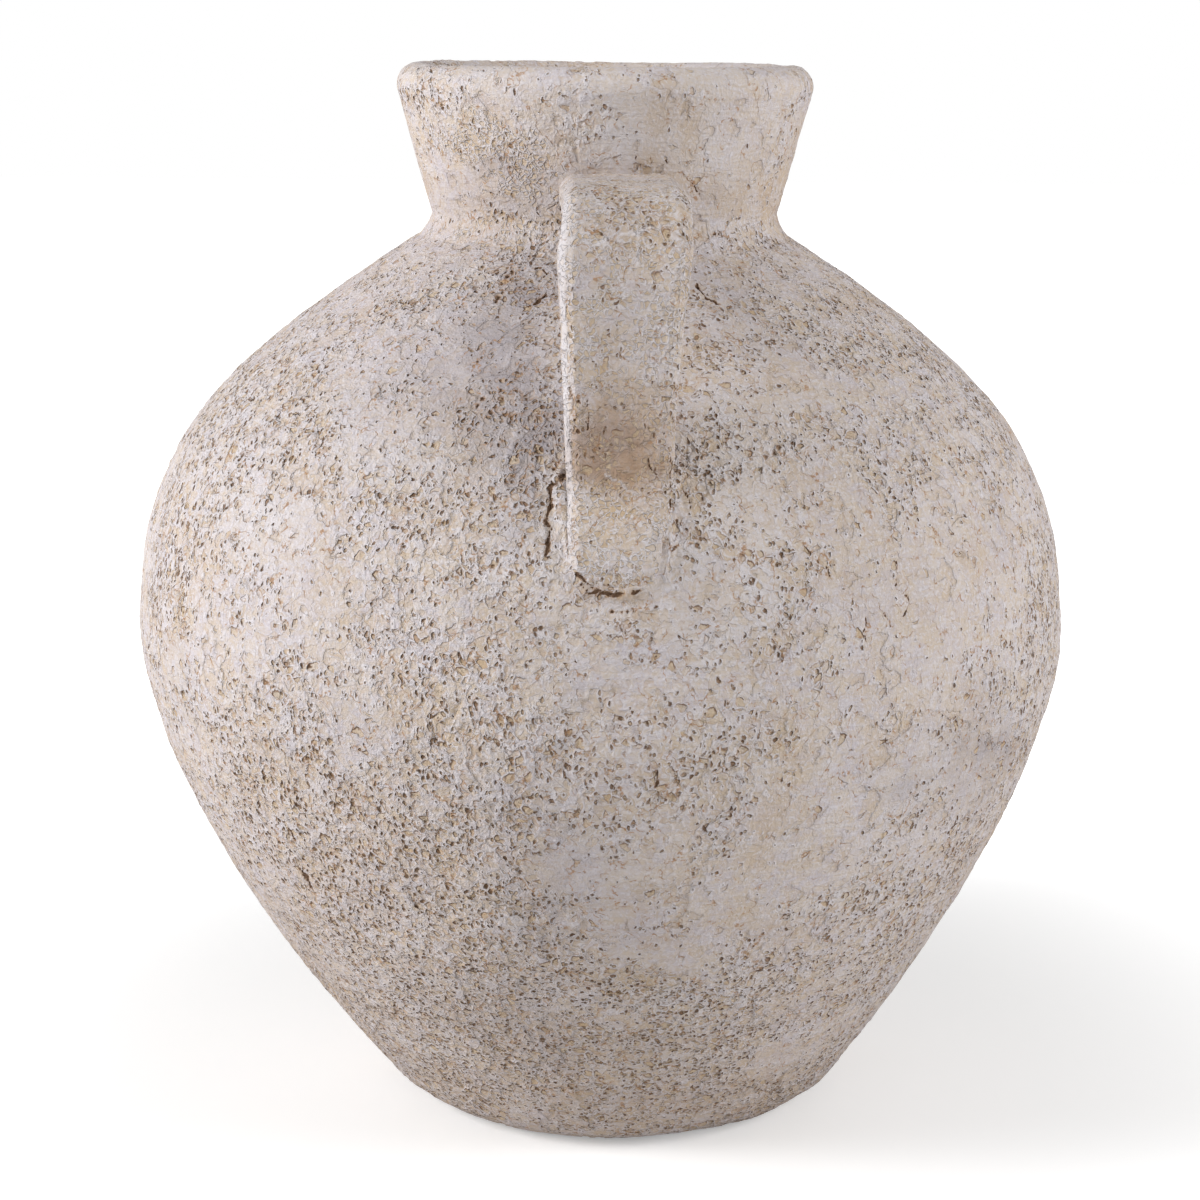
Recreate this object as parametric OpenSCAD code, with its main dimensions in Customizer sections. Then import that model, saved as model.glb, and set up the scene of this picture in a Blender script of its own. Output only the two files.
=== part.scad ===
// Round terracotta jug with a flared neck and one strap handle, built from joined clay sections.
// The origin is the centre of the underside, +Z is up and the handle stands on the -Y side.

/* [Body] */
// Diameter at the widest part of the belly
belly_d = 350; // [310:1:390]
// Height of the widest part above the table
belly_z = 186; // [165:1:205]
// Height of the neck's foot, where the shoulder ends
shoulder_z = 332; // [310:1:360]
// Diameter of the flat underside
foot_d = 139; // [120:1:165]
// Angle of the wall above the foot, measured from the table
foot_rise_deg = 49; // [42:1:60]
// Length over which the wall keeps the angle of the foot
foot_reach = 12; // [4:1:30]
// Fullness of the wall just under the belly
belly_fullness_low = 66; // [45:1:85]
// Fullness of the wall just above the belly
belly_fullness_up = 72; // [50:1:90]
// Angle of the shoulder where it meets the neck, measured from the table
shoulder_slope_deg = 32; // [24:1:40]
// Length over which the shoulder keeps that angle
shoulder_reach = 79; // [50:1:95]

/* [Neck and rim] */
// Outside diameter of the neck at its foot
neck_foot_d = 126; // [112:1:140]
// Height of the neck with its rim, above the shoulder
neck_h = 59; // [50:1:75]
// Outside diameter of the rim
rim_d = 153; // [144:1:170]
// Radius of the rounded rim
lip_r = 7.8; // [6:0.1:9]
// Height of the rim coil above its joint with the neck
rim_h = 17; // [15:0.5:22]

/* [Clay thickness] */
// Thickness of the body wall
wall_t = 9; // [7:0.5:12]
// Thickness of the floor
floor_t = 9; // [7:0.5:12]
// Thickness of the neck at its foot
neck_t = 8.5; // [7:0.5:11]
// Height of the tongue that laps the belly joint
lap_h = 7; // [4:0.5:10]
// Slip clearance beside the tongue
slip = 0.3; // [0.2:0.05:0.6]

/* [Joint coils] */
// Leg of the coil in the corner of floor and wall
base_coil_leg = 14; // [8:1:20]
// Height of the coil over the belly joint
belly_coil_h = 24; // [16:1:32]
// How far that coil stands out from the wall
belly_coil_t = 5; // [3:0.5:8]
// Leg of the coil at the neck's foot
neck_coil_leg = 5; // [4:0.5:8]

/* [Handle] */
// Width of the strap at the neck
strap_top_w = 47; // [40:1:54]
// Width of the strap at the shoulder
strap_low_w = 33; // [28:1:40]
// Thickness of the strap
strap_t = 14; // [11:0.5:17]
// Rounding of the strap's edges
strap_edge_r = 5; // [3:0.5:5.4]
// Height of the strap's middle above the neck's foot
strap_rise = 15.5; // [14:0.5:20]
// Distance from the strap's middle inward from the widest part of the belly
strap_inset = 25; // [20:1:32]
// Radius of the bend along the strap's middle
strap_bend_r = 25; // [20:1:32]
// Length of the upper pad, from the neck to the end of the strap
upper_pad_l = 14; // [10:1:18]
// How far the upper pad spreads beyond the strap
upper_pad_spread = 4; // [2:0.5:5]
// Height of the strap's lower end above the shoulder
lower_pad_h = 5; // [3:0.5:8]
// Length of the tail on the shoulder, measured downward
tail_l = 46; // [36:1:54]
// Height of the tail's end above the shoulder
tail_t = 3; // [2:0.5:5]

/* [Hidden] */

$fn = 96;
tail_fn = 32;
wall_steps = 14;
curve_steps = 8;
corner_steps = 4;
bend_steps = 10;
// Share of its leg by which a coil's face is drawn out of the corner
coil_fill = 0.25;
coat = [0.81, 0.76, 0.72];
coat_warm = [0.78, 0.71, 0.64];
clay = [0.70, 0.55, 0.43];

belly_r = belly_d / 2;
foot_r = foot_d / 2;
foot_edge_r = floor_t / (1 - cos(foot_rise_deg));
wall_foot = [foot_r + foot_edge_r * sin(foot_rise_deg), floor_t];
neck_foot = [neck_foot_d / 2, shoulder_z];
neck_bore_r = neck_foot[0] - neck_t;
height = shoulder_z + neck_h;
rim_joint_z = height - rim_h;

// Curves of the outside of the lower and the upper body, from the foot to the neck
foot_up = [cos(foot_rise_deg), sin(foot_rise_deg)];
shoulder_up = [-cos(shoulder_slope_deg), sin(shoulder_slope_deg)];
lower_curve = [
    wall_foot,
    wall_foot + foot_reach * foot_up,
    [belly_r, belly_z - belly_fullness_low],
    [belly_r, belly_z]
];
upper_curve = [
    [belly_r, belly_z],
    [belly_r, belly_z + belly_fullness_up],
    neck_foot - shoulder_reach * shoulder_up,
    neck_foot
];

function curve_point(c, t) =
    pow(1 - t, 3) * c[0] + 3 * t * pow(1 - t, 2) * c[1] + 3 * t * t * (1 - t) * c[2] + pow(t, 3) * c[3];
function curve_along(c, t) =
    pow(1 - t, 2) * (c[1] - c[0]) + 2 * t * (1 - t) * (c[2] - c[1]) + t * t * (c[3] - c[2]);
function left_of(v) = [-v[1], v[0]] / norm(v);
function curve_line(c, depth) =
    [for (i = [0:wall_steps])
        let (t = i / wall_steps) curve_point(c, t) + depth * left_of(curve_along(c, t))];
function arc_line(centre, r, from_deg, to_deg) =
    [for (i = [0:curve_steps])
        let (a = from_deg + (to_deg - from_deg) * i / curve_steps) centre + r * [cos(a), sin(a)]];
function sag_line(a, corner, b) =
    [for (i = [0:curve_steps])
        let (t = i / curve_steps) pow(1 - t, 2) * a + 2 * t * (1 - t) * corner + t * t * b];
function radius_at(line, z) = lookup(z, [for (p = line) [p[1], p[0]]]);
function height_at(line, r) = lookup(r, line);
function between_z(line, low, high) = [for (p = line) if (p[1] > low && p[1] < high) p];
function reversed(line) = [for (i = [len(line) - 1:-1:0]) line[i]];

// Outside and inside lines of the wall; the inside ones run on to the floor and to the neck's bore
lower_outside = curve_line(lower_curve, 0);
upper_outside = curve_line(upper_curve, 0);
lower_inside = concat(
    [[wall_foot[0] - wall_t / sin(foot_rise_deg), floor_t]],
    curve_line(lower_curve, wall_t));
upper_offset = curve_line(upper_curve, wall_t);
shoulder_run_l = 3 * wall_t;
shoulder_run = upper_offset[wall_steps] + shoulder_run_l * shoulder_up;
upper_inside_whole = concat(upper_offset, [shoulder_run]);
lap_top = [belly_r - wall_t, belly_z + lap_h];
bore_foot = [neck_bore_r, height_at(upper_inside_whole, neck_bore_r)];
upper_inside = concat(
    [lap_top],
    [for (p = upper_inside_whole) if (p[1] > lap_top[1] + slip && p[0] > neck_bore_r + slip) p],
    [bore_foot]);
lap_r = belly_r - wall_t / 2;

// Straight sides of the neck, each tangent to the round of the rim
lip_centre = [rim_d / 2 - lip_r, height - lip_r];
neck_bore = [neck_bore_r, shoulder_z];
function direction(a, b) = atan2(b[1] - a[1], b[0] - a[0]);
outside_deg = direction(neck_foot, lip_centre) - asin(lip_r / norm(lip_centre - neck_foot));
inside_deg = direction(neck_bore, lip_centre) + asin(lip_r / norm(lip_centre - neck_bore));
function neck_outside(z) = [neck_foot[0] + (z - shoulder_z) / tan(outside_deg), z];
function neck_inside(z) = [neck_bore_r + (z - shoulder_z) / tan(inside_deg), z];

// Coil at the neck's foot, between a toe on the shoulder and a toe on the neck
neck_toe = neck_outside(shoulder_z + neck_coil_leg);
shoulder_toe_r = neck_foot[0] + neck_coil_leg;
shoulder_toe = [shoulder_toe_r, height_at(upper_outside, shoulder_toe_r)];
neck_coil_face = sag_line(neck_toe, neck_foot + coil_fill * [neck_coil_leg, neck_coil_leg], shoulder_toe);

// Middle line of the strap: level out from the neck, round the bend, straight down to the shoulder
strap_z = shoulder_z + strap_rise;
strap_r = belly_r - strap_inset;
strap_start_r = neck_outside(strap_z)[0] + upper_pad_l;
strap_land_r = strap_r - strap_t / 2;
strap_end_z = height_at(upper_outside, strap_land_r) + lower_pad_h;
bend_centre = [strap_r - strap_bend_r, strap_z - strap_bend_r];
strap_path = concat(
    [[strap_start_r, strap_z, 90]],
    [for (i = [0:bend_steps])
        let (a = 90 - 90 * i / bend_steps)
        [bend_centre[0] + strap_bend_r * cos(a), bend_centre[1] + strap_bend_r * sin(a), a]],
    [[strap_r, strap_end_z, 0]]);
strap_last = len(strap_path) - 1;
function strap_at(i) = [strap_path[i][0], strap_path[i][1]];
function path_length(i) = i == 0 ? 0 : path_length(i - 1) + norm(strap_at(i) - strap_at(i - 1));
function strap_w(i) =
    strap_top_w + (strap_low_w - strap_top_w) * path_length(i) / path_length(strap_last);

// Rounded oblong, as points [across, through], used for every section of the handle
function oblong(w, t, r) =
    [for (q = [0:3], i = [0:corner_steps])
        let (a = 90 * q + 90 * i / corner_steps, sx = q == 0 || q == 3 ? 1 : -1, sy = q < 2 ? 1 : -1)
        [sx * (w / 2 - r) + r * cos(a), sy * (t / 2 - r) + r * sin(a)]];
// A section set at [radius, height], its thickness along the direction a in the handle's plane
function placed(section, at, a) =
    [for (p = section) [p[0], -(at[0] + p[1] * cos(a)), at[1] + p[1] * sin(a)]];

// Closed solid through rings of equal count, in order along its length
module skin(rings) {
    n = len(rings[0]);
    last = len(rings) - 1;
    sides = [for (k = [0:last - 1], i = [0:n - 1])
        let (j = (i + 1) % n)
        [k * n + i, k * n + j, (k + 1) * n + j, (k + 1) * n + i]];
    polyhedron(
        [for (ring = rings) each ring],
        concat(sides, [[for (i = [n - 1:-1:0]) i], [for (i = [0:n - 1]) last * n + i]]));
}

module turned(points) {
    rotate_extrude() polygon(points);
}

// Everything inside the outer face of shoulder, neck coil and neck, for fitting the pads
module core() {
    turned(concat(
        [[0, belly_z]],
        [for (p = upper_outside) if (p[0] > shoulder_toe_r) p],
        reversed(neck_coil_face),
        [neck_outside(rim_joint_z), [0, rim_joint_z]]));
}

module base_disc() {
    foot_arc = arc_line([foot_r, foot_edge_r], foot_edge_r, -90, foot_rise_deg - 90);
    color(coat_warm) turned(concat([[0, 0]], foot_arc, [[0, floor_t]]));
}

module base_seam_coil() {
    corner = lower_inside[0];
    floor_toe = corner - [base_coil_leg, 0];
    wall_toe_z = floor_t + base_coil_leg;
    wall_toe = [radius_at(lower_inside, wall_toe_z), wall_toe_z];
    color(clay) turned(concat(
        [corner],
        between_z(lower_inside, floor_t + slip, wall_toe_z - slip),
        sag_line(wall_toe, corner + coil_fill * [-base_coil_leg, base_coil_leg], floor_toe)));
}

module lower_body() {
    color(coat) turned(concat(
        lower_outside,
        [[lap_r, belly_z], [lap_r - slip, belly_z], [lap_r - slip, lap_top[1]], lap_top],
        reversed(lower_inside)));
}

module belly_seam_coil() {
    low_z = belly_z - belly_coil_h / 2;
    high_z = belly_z + belly_coil_h / 2;
    low = [radius_at(lower_inside, low_z), low_z];
    high = [radius_at(upper_inside, high_z), high_z];
    bulge = [lap_top[0] - 2 * belly_coil_t, belly_z];
    color(clay) turned(concat(
        [low],
        between_z(lower_inside, low_z + slip, belly_z + slip),
        [lap_top],
        between_z(upper_inside, lap_top[1] + slip, high_z - slip),
        sag_line(high, bulge, low)));
}

module upper_body() {
    color(coat) turned(concat(
        upper_outside,
        [neck_bore],
        reversed(upper_inside),
        [[lap_r, lap_top[1]], [lap_r, belly_z]]));
}

module neck_seam_coil() {
    color(coat) turned(concat(
        [neck_foot],
        reversed([for (p = upper_outside) if (p[0] > neck_foot[0] && p[0] < shoulder_toe_r) p]),
        reversed(neck_coil_face)));
}

module neck_collar() {
    color(coat) turned([
        neck_foot,
        neck_outside(rim_joint_z),
        neck_inside(rim_joint_z),
        neck_bore
    ]);
}

module rim_roll() {
    outside_touch = lip_centre + lip_r * [sin(outside_deg), -cos(outside_deg)];
    inside_touch = lip_centre + lip_r * [-sin(inside_deg), cos(inside_deg)];
    color(coat) rotate_extrude() {
        translate(lip_centre) circle(lip_r);
        polygon([neck_outside(rim_joint_z), outside_touch, inside_touch, neck_inside(rim_joint_z)]);
    }
}

module upper_handle_pad() {
    spread = 2 * upper_pad_spread;
    wide_edge_r = strap_edge_r + upper_pad_spread / 2;
    wide = oblong(strap_top_w + spread, strap_t + spread, wide_edge_r);
    narrow = oblong(strap_top_w, strap_t, strap_edge_r);
    color(coat) difference() {
        skin([
            placed(narrow, [strap_start_r, strap_z], 90),
            placed(wide, [strap_start_r - upper_pad_l, strap_z], 90),
            placed(wide, [neck_bore_r, strap_z], 90)
        ]);
        core();
    }
}

module handle_strap() {
    color(coat) skin([for (i = [strap_last:-1:0])
        placed(oblong(strap_w(i), strap_t, strap_edge_r), strap_path[i], strap_path[i][2])]);
}

module lower_handle_pad() {
    top = placed(oblong(strap_low_w, strap_t, strap_edge_r), [strap_r, strap_end_z], 0);
    tail_z = height_at(upper_outside, strap_land_r) - tail_l + strap_low_w / 2;
    tail_r = radius_at(upper_outside, tail_z);
    middle_z = tail_z + tail_l / 2;
    lean = direction([radius_at(upper_outside, middle_z), middle_z], [tail_r, tail_z]);
    color(coat) difference() {
        hull() {
            skin([top, [for (p = top) p - [0, 0, lower_pad_h]]]);
            translate([0, -tail_r, tail_z]) rotate([-lean, 0, 0]) translate([0, 0, -strap_t])
                cylinder(h = strap_t + tail_t, d = strap_low_w, $fn = tail_fn);
        }
        core();
    }
}

base_disc();
base_seam_coil();
lower_body();
belly_seam_coil();
upper_body();
neck_seam_coil();
neck_collar();
rim_roll();
upper_handle_pad();
handle_strap();
lower_handle_pad();
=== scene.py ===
"""Looks of the terracotta jug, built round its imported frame.

Every section of clay is a closed mesh that follows its solid and carries the relief of a brushed, pitted
lime coat. One relief serves all pieces, so that they meet without a step. Lengths are millimetres until
a mesh is made, and metres in Blender.
"""
import math
from functools import reduce
from types import SimpleNamespace

import bpy
import numpy as np
from mathutils import Matrix, Vector


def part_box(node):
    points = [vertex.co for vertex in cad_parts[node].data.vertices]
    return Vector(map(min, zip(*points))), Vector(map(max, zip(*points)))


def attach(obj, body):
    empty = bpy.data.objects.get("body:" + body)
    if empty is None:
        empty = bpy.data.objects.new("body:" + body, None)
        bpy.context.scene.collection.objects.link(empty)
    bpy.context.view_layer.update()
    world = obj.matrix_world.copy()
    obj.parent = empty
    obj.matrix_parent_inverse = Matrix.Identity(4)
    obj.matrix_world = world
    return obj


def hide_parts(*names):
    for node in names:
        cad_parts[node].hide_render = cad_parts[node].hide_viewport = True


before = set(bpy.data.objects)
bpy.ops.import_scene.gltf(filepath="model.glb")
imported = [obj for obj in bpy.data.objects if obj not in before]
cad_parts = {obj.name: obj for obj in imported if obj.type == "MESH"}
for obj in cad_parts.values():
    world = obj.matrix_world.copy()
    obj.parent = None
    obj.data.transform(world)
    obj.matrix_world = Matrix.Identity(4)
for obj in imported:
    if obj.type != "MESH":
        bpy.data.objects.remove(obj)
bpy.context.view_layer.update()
scene = bpy.context.scene

MM = 0.001


def node_box(node):
    """Lowest and highest corner of a CAD node, in millimetres."""
    low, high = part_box(node)
    return np.array(low) / MM, np.array(high) / MM


# Sizes that the frame gives
BELLY_R = node_box("upper_body")[1][0]
BELLY_Z = node_box("upper_body")[0][2]
SHOULDER_Z = node_box("upper_body")[1][2]
LAP_Z = node_box("lower_body")[1][2]
FLOOR_T = node_box("base_disc")[1][2]
RIM_R = node_box("rim_roll")[1][0]
RIM_JOINT_Z = node_box("rim_roll")[0][2]
HEIGHT = node_box("rim_roll")[1][2]
STRAP_START_R = -node_box("handle_strap")[1][1]
STRAP_OUT_R = -node_box("handle_strap")[0][1]
STRAP_TOP_Z = node_box("handle_strap")[1][2]
STRAP_END_Z = node_box("handle_strap")[0][2]
TAIL_Z = node_box("lower_handle_pad")[0][2]

# Sizes of the outline that the boxes don't give, as in the solids
FOOT_R = 69.5
FOOT_RISE = math.radians(49)
FOOT_REACH = 12.0
FULLNESS_LOW = 66.0
FULLNESS_UP = 72.0
SHOULDER_SLOPE = math.radians(32)
SHOULDER_REACH = 79.0
NECK_FOOT_R = 63.0
NECK_T = 8.5
LIP_R = 7.8
WALL_T = 9.0
NECK_COIL_LEG = 5.0
BASE_COIL_LEG = 14.0
BELLY_COIL_H = 24.0
BELLY_COIL_T = 5.0
STRAP_T = 14.0
STRAP_EDGE_R = 4.2
STRAP_BEND_R = 25.0

# Fineness of the meshes
FINE = 1.0
BODY_COLUMNS = int(1152 / FINE) // 12 * 12
FRONT_BIAS = 0.36
NECK_COLUMNS = int(516 / FINE) // 12 * 12
INNER_COLUMNS = 240
COAT_STEP = 0.95 * FINE
INSIDE_STEP = 5.0
DENSE = 400

SEED = 7


# Camera

CAMERA_DISTANCE = 1000.0
CAMERA_HEIGHT = 406.0
CAMERA_PITCH = math.radians(12.27)
CAMERA_ROLL = math.radians(0.5)
CAMERA_AZIMUTH = math.radians(-2.0)
CAMERA_ASIDE = -2.2
FOCAL_PIXELS = 2656.0
IMAGE_PIXELS = 1200.0


def make_camera():
    """The photograph's view of the jug, for an image of 1200 by 1200 pixels. Returns its matrix."""
    data = bpy.data.cameras.new("camera")
    data.lens = FOCAL_PIXELS / IMAGE_PIXELS * data.sensor_width
    camera = bpy.data.objects.new("camera", data)
    scene.collection.objects.link(camera)
    scene.camera = camera
    around = Matrix.Rotation(CAMERA_AZIMUTH, 4, "Z")
    place = Matrix.Translation(Vector((CAMERA_ASIDE, -CAMERA_DISTANCE, CAMERA_HEIGHT)) * MM)
    tilt = Matrix.Rotation(math.pi / 2 - CAMERA_PITCH, 4, "X")
    matrix = around @ place @ tilt @ Matrix.Rotation(CAMERA_ROLL, 4, "Z")
    camera.matrix_world = matrix
    return matrix


FROM_CAMERA = np.array(make_camera())
TO_CAMERA = np.linalg.inv(FROM_CAMERA)


def seen_at(points):
    """Pixels of the photograph at which points show."""
    p = points * MM @ TO_CAMERA[:3, :3].T + TO_CAMERA[:3, 3]
    return IMAGE_PIXELS / 2 + FOCAL_PIXELS * np.stack([p[:, 0], -p[:, 1]], 1) / -p[:, 2:]


def facing(points, outward):
    """1 where a surface faces the camera and 0 where it faces away."""
    to_camera = FROM_CAMERA[:3, 3] / MM - points
    to_camera /= np.linalg.norm(to_camera, axis=1)[:, None]
    return smoothstep(0.0, 0.15, np.einsum("ij,ij->i", to_camera, outward))


# Noise

def smoothstep(low, high, x):
    t = np.clip((x - low) / (high - low), 0.0, 1.0)
    return t * t * (3.0 - 2.0 * t)


def cell_hash(cells, seed):
    """A repeatable whole number for each cell of a grid."""
    h = cells[..., 0] * 73856093 ^ cells[..., 1] * 19349663 ^ cells[..., 2] * 83492791
    h = (h ^ (seed * 2654435761)) & 0x7FFFFFFF
    h = (h ^ (h >> 15)) * 0x2C1B3C6D & 0x7FFFFFFF
    return h ^ (h >> 12)


GRADIENTS = np.random.default_rng(SEED).normal(size=(256, 3))
GRADIENTS /= np.linalg.norm(GRADIENTS, axis=1)[:, None]
NOISE_GAIN = 3.6


def noise(points, size, seed):
    """Smooth noise with a spread of about 1, whose lumps have the given size."""
    p = points / size
    base = np.floor(p).astype(np.int64)
    f = p - base
    fade = f * f * f * (f * (f * 6 - 15) + 10)
    total = np.zeros(len(p))
    for corner in range(8):
        step = np.array([corner & 1, corner >> 1 & 1, corner >> 2 & 1])
        g = GRADIENTS[cell_hash(base + step, SEED + seed) & 255]
        weight = np.prod(np.where(step, fade, 1 - fade), axis=1)
        total += weight * np.einsum("ij,ij->i", g, f - step)
    return total * NOISE_GAIN


def noises(points, size, *seeds):
    return np.stack([noise(points, size, seed) for seed in seeds], 1)


def layered(points, size, seed, layers=3):
    return sum(noise(points, size / 2 ** k, seed + k) / 2 ** k for k in range(layers))


# Patches and marks of the coat, placed by pixels of the photograph. Some patches paint light or shade.

def patch(x, y, reach_x, reach_y, **adds):
    """A soft patch round a pixel: its middle, its reach, and what it adds to the fields of the coat."""
    return (x, y), (reach_x, reach_y), adds


NECK_PATCHES = (
    patch(495, 233, 75, 10, rough=-0.5, tan=0.35, lace=0.4),
    # Painted shade in grey and brown at the foot of the neck, on the left
    patch(500, 200, 70, 24, grey=0.35, earth=0.2, rough=0.1),
    patch(520, 168, 45, 26, tan=0.35, grey=0.2, rough=0.1, lace=0.5),
    patch(500, 222, 70, 7, tan=0.6, rough=0.5),
    patch(470, 84, 70, 12, pale=0.4, rough=0.45, cool=0.3),
    # Painted light where the handle shades the middle of the neck
    patch(620, 138, 75, 44, pale=1.0),
    patch(480, 140, 60, 24, tan=0.6, rough=0.15, lace=0.6),
    patch(600, 120, 60, 40, rough=-0.2),
    patch(500, 168, 36, 9, grey=0.4, cool=0.5),
    patch(560, 140, 18, 30, tan=0.25),
    patch(740, 190, 50, 22, tan=0.55, rough=-0.4),
    patch(735, 120, 70, 70, rough=-0.45, tan=0.2, pale=0.25),
    patch(430, 95, 40, 14, rough=0.5),
    patch(650, 162, 20, 10, tan=1.0, rough=-0.3),
    patch(548, 214, 8, 8, tan=1.0, dark=0.4),
)
SHOULDER_PATCHES = (
    # The next three patches paint the handle's shadow on the shoulder, left of the strap
    patch(495, 380, 62, 100, grey=0.95, rough=0.15),
    patch(535, 290, 28, 34, grey=0.7, rough=0.5),
    patch(540, 440, 24, 70, grey=0.4, rough=0.2),
    # Painted cool light on the left side, where the key lamp falls
    patch(390, 340, 130, 110, cool=0.75),
    patch(760, 430, 80, 100, rough=-0.3, tan=0.35),
    # Painted light where the handle's shadow falls, right of the strap
    patch(735, 455, 55, 60, rough=-0.25, pale=0.95),
)
TAIL_PATCHES = (
    patch(609, 619, 7, 6, tan=1.2, rough=-0.6),
    patch(625, 621, 4, 4, tan=1.0),
    patch(618, 629, 5, 4, tan=1.0),
    patch(557, 520, 7, 32, pale=0.9, rough=-0.4),
    patch(685, 500, 6, 14, tan=1.1, rough=-0.3),
    patch(698, 458, 20, 18, rough=0.7, tan=0.6),
    # Painted shadow beside the tail's lower left end
    patch(577, 585, 8, 8, grey=0.6),
    # Brown and painted shade under the tail's end
    patch(606, 592, 40, 8, tan=0.9, rough=0.5, earth=0.3),
)
BELLY_PATCHES = (
    # Painted cool light on the left side, where the key lamp falls
    patch(250, 540, 110, 120, cool=0.5),
    patch(745, 600, 36, 26, pale=1.0, rough=-0.2),
    patch(255, 520, 45, 50, pale=0.6, rough=-0.35),
    patch(905, 560, 120, 110, rough=-0.5, tan=0.2),
    patch(445, 715, 45, 34, rough=0.4, tan=0.5),
    patch(700, 760, 110, 60, rough=0.1, tan=0.2),
    patch(985, 745, 45, 22, grey=0.6, rough=0.2),
    patch(930, 780, 55, 30, grey=0.4),
    patch(420, 560, 60, 90, rough=0.1),
    patch(340, 740, 110, 70, grey=0.24),
    patch(365, 500, 70, 40, rough=0.35),
    patch(710, 560, 45, 80, rough=0.3),
    patch(640, 645, 90, 40, rough=0.25),
    patch(530, 500, 20, 60, grey=0.3),
)
FOOT_PATCHES = (
    patch(860, 800, 90, 110, rough=-0.3),
    patch(300, 810, 85, 40, rough=0.6, dark=0.5),
    patch(400, 885, 80, 40, rough=0.6, grey=0.15, dark=0.5),
    patch(350, 860, 110, 90, rough=0.3, earth=0.15, dark=0.3),
    patch(500, 985, 110, 40, rough=0.5, tan=0.2, dark=0.3),
    patch(585, 870, 45, 80, rough=-0.2, grey=0.25),
    patch(600, 1105, 230, 40, rough=0.4, earth=0.1),
    patch(330, 1000, 60, 70, rough=0.2),
    patch(600, 1090, 200, 50, tan=0.2),
    patch(610, 1045, 150, 50, rough=0.35, tan=0.1),
)
BODY_PATCHES = (*NECK_PATCHES, *SHOULDER_PATCHES, *TAIL_PATCHES, *BELLY_PATCHES, *FOOT_PATCHES)
HANDLE_PATCHES = (
    # The next four patches paint shade on the strap's lower end above the crease, where it turns downward
    patch(612, 432, 62, 46, earth=0.7, tan=0.3),
    patch(598, 442, 26, 24, earth=0.5, grey=0.35),
    patch(640, 477, 40, 16, earth=0.7, tan=0.4, rough=-0.4, lace=-0.2),
    patch(598, 460, 34, 16, earth=0.6, rough=-0.1),
    patch(622, 320, 60, 120, earth=0.1),
    patch(625, 225, 60, 45, tan=0.5, rough=0.45),
    patch(592, 236, 14, 14, tan=0.6, rough=0.3),
    patch(656, 225, 15, 10, tan=0.6),
    patch(650, 260, 30, 40, tan=0.35, rough=0.25),
    patch(640, 360, 25, 60, rough=-0.3, grey=0.1),
    # Painted highlight down the strap's left edge, which faces the key lamp
    patch(563, 290, 8, 130, pale=1.4, rough=-0.8, earth=-0.5),
    patch(571, 380, 6, 60, rough=0.8, tan=0.5),
    patch(687, 300, 6, 110, tan=0.5),
    patch(610, 512, 46, 14, tan=0.85, rough=-0.5, lace=-0.3),
    patch(615, 545, 46, 20, rough=-0.25, tan=0.35, lace=-0.3),
    # Painted highlight on the tail's left edge
    patch(568, 520, 5, 36, pale=0.7, rough=-0.3),
    patch(606, 584, 40, 9, tan=0.9, dark=0.2, rough=0.5),
)

# Marks of each kind: a width in pixels, and the pixels that its line runs through
BODY_MARKS = {
    "crack": (
        (5.4, (566, 476), (558, 485), (553, 485), (551, 494)),
        (4.8, (551, 494), (550, 504), (546, 514), (544, 522), (551, 528), (548, 540)),
        (5.4, (548, 540), (546, 551), (548, 557)),
        (3.8, (682, 488), (687, 495), (689, 503), (691, 508)),
        (4.6, (676, 519), (678, 528)),
        (4.2, (574, 574), (582, 579), (591, 588), (600, 593), (612, 596), (622, 593)),
        (2.0, (579, 584), (588, 594), (600, 598)),
        (2.4, (609, 596), (619, 593)),
        (2.6, (629, 592), (633, 590)),
        (4.0, (630, 594), (641, 590)),
        (2.2, (688, 177), (695, 188), (700, 197)),
        (1.5, (636, 154), (634, 162), (638, 169)),
        (1.5, (649, 156), (653, 169)),
        (1.5, (662, 157), (666, 161), (667, 169)),
        (2.0, (518, 271), (527, 268), (540, 267), (548, 273)),
        (2.4, (534, 304), (540, 301), (546, 295)),
        (2.4, (696, 283), (700, 290), (705, 296), (712, 299), (719, 303)),
        (1.8, (712, 234), (722, 236), (728, 240)),
        (2.2, (824, 562), (829, 572), (831, 577)),
        (1.7, (895, 560), (898, 586), (908, 598), (909, 612), (905, 618)),
        (1.9, (866, 617), (868, 626), (865, 634), (867, 641)),
        (2.2, (883, 613), (889, 620), (890, 628)),
        (3.4, (657, 770), (659, 780), (656, 788)),
        (3.0, (287, 828), (292, 834), (296, 844)),
        (3.4, (298, 866), (304, 876), (312, 888)),
    ),
    "edge": (
        (2.6, (207, 542), (205, 557), (192, 567), (194, 582)),
        (2.6, (318, 557), (317, 576), (324, 588), (331, 597)),
        (3.0, (802, 736), (805, 744), (806, 754)),
    ),
    "groove": (
        (8.0, (430, 718), (434, 731), (437, 740)),
        (8.0, (460, 702), (452, 716), (446, 724)),
    ),
    "dot": (
        (4.0, (437, 741), (452, 716)),
        (4.4, (611, 613), (620, 612), (627, 612), (633, 610), (640, 608)),
        (4.4, (664, 538), (670, 550), (674, 548)),
        (4.6, (499, 297), (495, 300), (512, 273), (506, 277)),
        (5.0, (500, 391), (503, 398), (484, 397), (478, 405)),
        (5.0, (554, 470), (563, 460)),
    ),
    "fillet": (
        (26.0, (562, 478), (566, 530), (572, 565), (590, 588), (620, 594), (645, 585), (664, 555),
         (671, 520), (674, 480)),
    ),
}
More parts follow.
